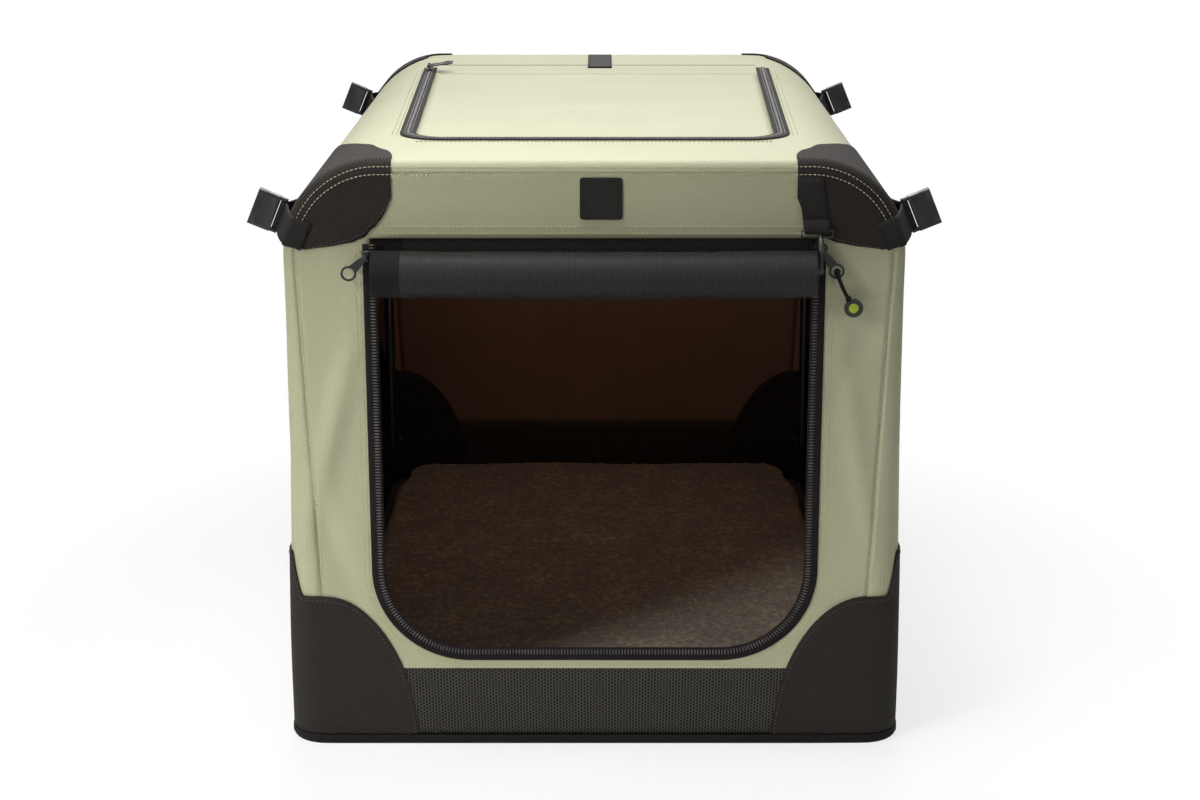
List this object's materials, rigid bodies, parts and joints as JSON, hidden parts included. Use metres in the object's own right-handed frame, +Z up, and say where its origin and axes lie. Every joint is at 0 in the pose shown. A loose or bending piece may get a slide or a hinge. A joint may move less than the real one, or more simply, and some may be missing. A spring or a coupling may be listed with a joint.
{
  "type": "soft folding dog crate",
  "caption": "Soft-sided folding crate for a dog: fabric cover over two folding tube frames, rolled-up front door, roof hatch, fleece mat.",
  "frame": {"origin": "middle of the flat underside, on the floor", "axes": "+Z up, -Y towards the front door, +X to the right seen from the front"},
  "size_m": [0.6704, 0.8631, 0.6014],
  "materials": {
    "canvas": "matt sage-beige polyester canvas",
    "patch": "charcoal coated twill",
    "skirt": "charcoal spacer mesh",
    "mesh": "coarse vinyl-coated mesh, rolled up",
    "webbing": "ribbed black webbing",
    "binding": "black binding tape",
    "bottom": "coated black bottom cloth",
    "zip": "black coil zip on woven tape",
    "acetal": "moulded black plastic with soft gloss",
    "fleece": "olive-beige sheepskin-look fleece",
    "tube": "satin black enamelled tube",
    "hinge": "zinc-plated pressed steel",
    "board": "stiff bottom board in dark cloth",
    "rubber_tag": "soft dark rubber disc with a green rim"
  },
  "bodies": {
    "base": {"bottom_sheet": "bottom", "base_binding": "binding", "base_frame": "tube", "frame_joiner": "tube", "floor_panel": "board", "fleece_mat": "fleece", "skirt_band": "skirt", "front_wall": "canvas", "rear_wall": "canvas", "left_wall": "canvas", "right_wall": "canvas", "roof": "canvas", "lower_patch_front_left": "patch", "lower_patch_front_right": "patch", "lower_patch_rear_left": "patch", "lower_patch_rear_right": "patch", "upper_patch_front_left": "patch", "upper_patch_front_right": "patch", "upper_patch_rear_left": "patch", "upper_patch_rear_right": "patch", "front_zip": "zip", "door_roll": "mesh", "hinge_bracket_front_left": "hinge", "hinge_bracket_front_right": "hinge", "hinge_bracket_rear_left": "hinge", "hinge_bracket_rear_right": "hinge", "hinge_pin_front_left": "hinge", "hinge_pin_front_right": "hinge", "hinge_pin_rear_left": "hinge", "hinge_pin_rear_right": "hinge"},
    "front_frame": {"front_frame": "tube"},
    "rear_frame": {"rear_frame": "tube"},
    "roof_fittings": {"roof_zip": "zip", "roof_tab": "webbing"},
    "corner_fittings": {"corner_strap_front_left": "webbing", "corner_strap_front_right": "webbing", "corner_strap_rear_left": "webbing", "corner_strap_rear_right": "webbing"},
    "door_fittings": {"door_strap": "webbing", "label_patch": "webbing"},
    "roof_hatch": {"roof_hatch": "canvas"},
    "roof_slider_front": {"roof_slider_front": "acetal"},
    "roof_slider_rear": {"roof_slider_rear": "acetal"},
    "roof_pull_front": {"roof_pull_front": "acetal"},
    "roof_pull_rear": {"roof_pull_rear": "acetal"},
    "front_slider_left": {"front_slider_left": "acetal"},
    "front_slider_right": {"front_slider_right": "acetal"},
    "front_pull_left": {"front_pull_left": "acetal"},
    "front_pull_right": {"front_pull_right": "acetal", "pull_cord": "webbing", "pull_tag": "rubber_tag"},
    "strap_hook": {"strap_hook": "acetal"},
    "buckle_front_left": {"buckle_front_left": "acetal"},
    "buckle_front_right": {"buckle_front_right": "acetal"},
    "buckle_rear_left": {"buckle_rear_left": "acetal"},
    "buckle_rear_right": {"buckle_rear_right": "acetal"}
  },
  "joints": [
    {"name": "front_fold", "type": "hinge", "parent": "base", "child": "front_frame", "pos_m": [0, -0.385, 0.05], "axis": [1, 0, 0], "range_deg": [-90, 0], "deforming": ["front_wall", "rear_wall", "left_wall", "right_wall", "roof", "skirt_band", "lower_patch_front_left", "lower_patch_front_right", "lower_patch_rear_left", "lower_patch_rear_right", "upper_patch_front_left", "upper_patch_front_right", "upper_patch_rear_left", "upper_patch_rear_right", "front_zip", "door_roll"]},
    {"name": "rear_fold", "type": "hinge", "parent": "base", "child": "rear_frame", "pos_m": [0, 0.375, 0.07], "axis": [-1, 0, 0], "range_deg": [-89.5, 0]},
    {"name": "roof_sink", "type": "slide", "parent": "base", "child": "roof_fittings", "axis": [0, 0, 1], "range_m": [-0.48, 0]},
    {"name": "corner_sink", "type": "slide", "parent": "base", "child": "corner_fittings", "axis": [0, 0, 1], "range_m": [-0.45, 0]},
    {"name": "door_sink", "type": "slide", "parent": "base", "child": "door_fittings", "axis": [0, 0, 1], "range_m": [-0.42, 0]},
    {"name": "hatch_hinge", "type": "hinge", "parent": "roof_fittings", "child": "roof_hatch", "pos_m": [0, 0.205, 0.59], "axis": [-1, 0, 0], "range_deg": [0, 110]},
    {"name": "roof_zip_run", "type": "slide", "parent": "roof_fittings", "child": "roof_slider_front", "axis": [0.0354, -0.9994, 0.0047], "range_m": [0, 0.38]},
    {"name": "roof_zip_follow", "type": "slide", "parent": "roof_fittings", "child": "roof_slider_rear", "axis": [0.0354, -0.9994, 0.0047], "range_m": [0, 0.38]},
    {"name": "roof_pull_front_turn", "type": "hinge", "parent": "roof_slider_front", "child": "roof_pull_front", "pos_m": [-0.20624, 0.226, 0.59724], "axis": [-0.0354, 0.9994, -0.0047], "range_deg": [-170, 0]},
    {"name": "roof_pull_rear_turn", "type": "hinge", "parent": "roof_slider_rear", "child": "roof_pull_rear", "pos_m": [-0.20677, 0.241, 0.59717], "axis": [-0.0354, 0.9994, -0.0047], "range_deg": [-170, 0]},
    {"name": "front_zip_left_run", "type": "slide", "parent": "door_fittings", "child": "front_slider_left", "axis": [0, 0, -1], "range_m": [0, 0.3]},
    {"name": "front_zip_right_run", "type": "slide", "parent": "door_fittings", "child": "front_slider_right", "axis": [0, 0, -1], "range_m": [0, 0.3]},
    {"name": "front_pull_left_turn", "type": "hinge", "parent": "front_slider_left", "child": "front_pull_left", "pos_m": [-0.215, -0.4184, 0.5005], "axis": [-0.6947, 0, 0.7193], "range_deg": [0, 110]},
    {"name": "front_pull_right_turn", "type": "hinge", "parent": "front_slider_right", "child": "front_pull_right", "pos_m": [0.215, -0.4184, 0.5056], "axis": [-0.8192, 0, -0.5736], "range_deg": [0, 60]},
    {"name": "hook_swing", "type": "hinge", "parent": "door_fittings", "child": "strap_hook", "pos_m": [0.209, -0.4151, 0.525], "axis": [-1, 0, 0], "range_deg": [0, 60]},
    {"name": "buckle_front_left_swing", "type": "hinge", "parent": "corner_fittings", "child": "buckle_front_left", "pos_m": [-0.30088, -0.37, 0.53097], "axis": [0.3827, 0, 0.9239], "range_deg": [-40, 40]},
    {"name": "buckle_front_right_swing", "type": "hinge", "parent": "corner_fittings", "child": "buckle_front_right", "pos_m": [0.30088, -0.37, 0.53097], "axis": [-0.3827, 0, 0.9239], "range_deg": [-40, 40]},
    {"name": "buckle_rear_left_swing", "type": "hinge", "parent": "corner_fittings", "child": "buckle_rear_left", "pos_m": [-0.30088, 0.37, 0.53097], "axis": [0.3827, 0, 0.9239], "range_deg": [-40, 40]},
    {"name": "buckle_rear_right_swing", "type": "hinge", "parent": "corner_fittings", "child": "buckle_rear_right", "pos_m": [0.30088, 0.37, 0.53097], "axis": [-0.3827, 0, 0.9239], "range_deg": [-40, 40]}
  ],
  "couplings": [
    {"joint": "rear_fold", "follows": "front_fold", "ratio": 0.99},
    {"joint": "roof_sink", "follows": "front_fold", "m_per_rad": 0.3042},
    {"joint": "corner_sink", "follows": "front_fold", "m_per_rad": 0.2785},
    {"joint": "door_sink", "follows": "front_fold", "m_per_rad": 0.261},
    {"joint": "roof_zip_follow", "follows": "roof_zip_run", "ratio": 1}
  ]
}
